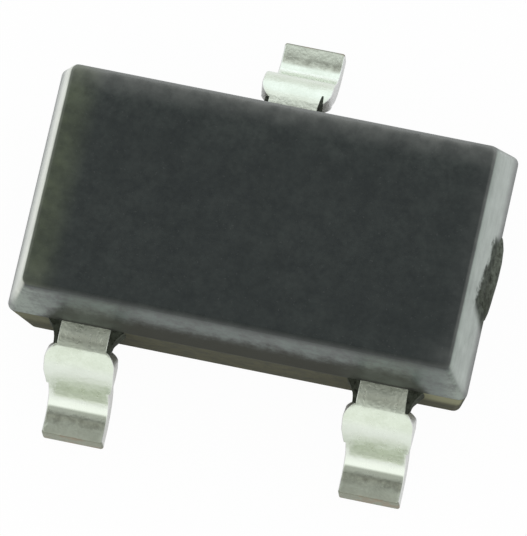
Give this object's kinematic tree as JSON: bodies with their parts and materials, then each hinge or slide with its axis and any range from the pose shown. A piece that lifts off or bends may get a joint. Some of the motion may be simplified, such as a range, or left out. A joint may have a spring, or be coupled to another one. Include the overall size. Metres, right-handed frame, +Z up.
{
  "type": "surface-mount transistor",
  "caption": "Small black moulded transistor with gull-wing leads, two in front and one behind, soldered flat to a circuit board to switch or amplify a signal.",
  "frame": {"origin": "on the board plane under the middle of the moulding", "axes": "+X along the moulding towards the emitter lead's end, +Y towards the single collector lead, +Z up from the board"},
  "size_m": [0.003, 0.0028, 0.0011],
  "materials": {
    "mold_compound": "black filled epoxy, satin from the mould",
    "tin_plate": "satin tin plating on copper alloy",
    "die_attach_alloy": "dull alloy layer",
    "silicon": "polished silicon with sawn sides",
    "gold_wire": "bright gold"
  },
  "bodies": {
    "root": {"mold_body": "mold_compound", "collector_lead": "tin_plate", "base_lead": "tin_plate", "emitter_lead": "tin_plate", "die_attach": "die_attach_alloy", "silicon_die": "silicon", "base_bond_wire": "gold_wire", "emitter_bond_wire": "gold_wire"}
  },
  "joints": []
}
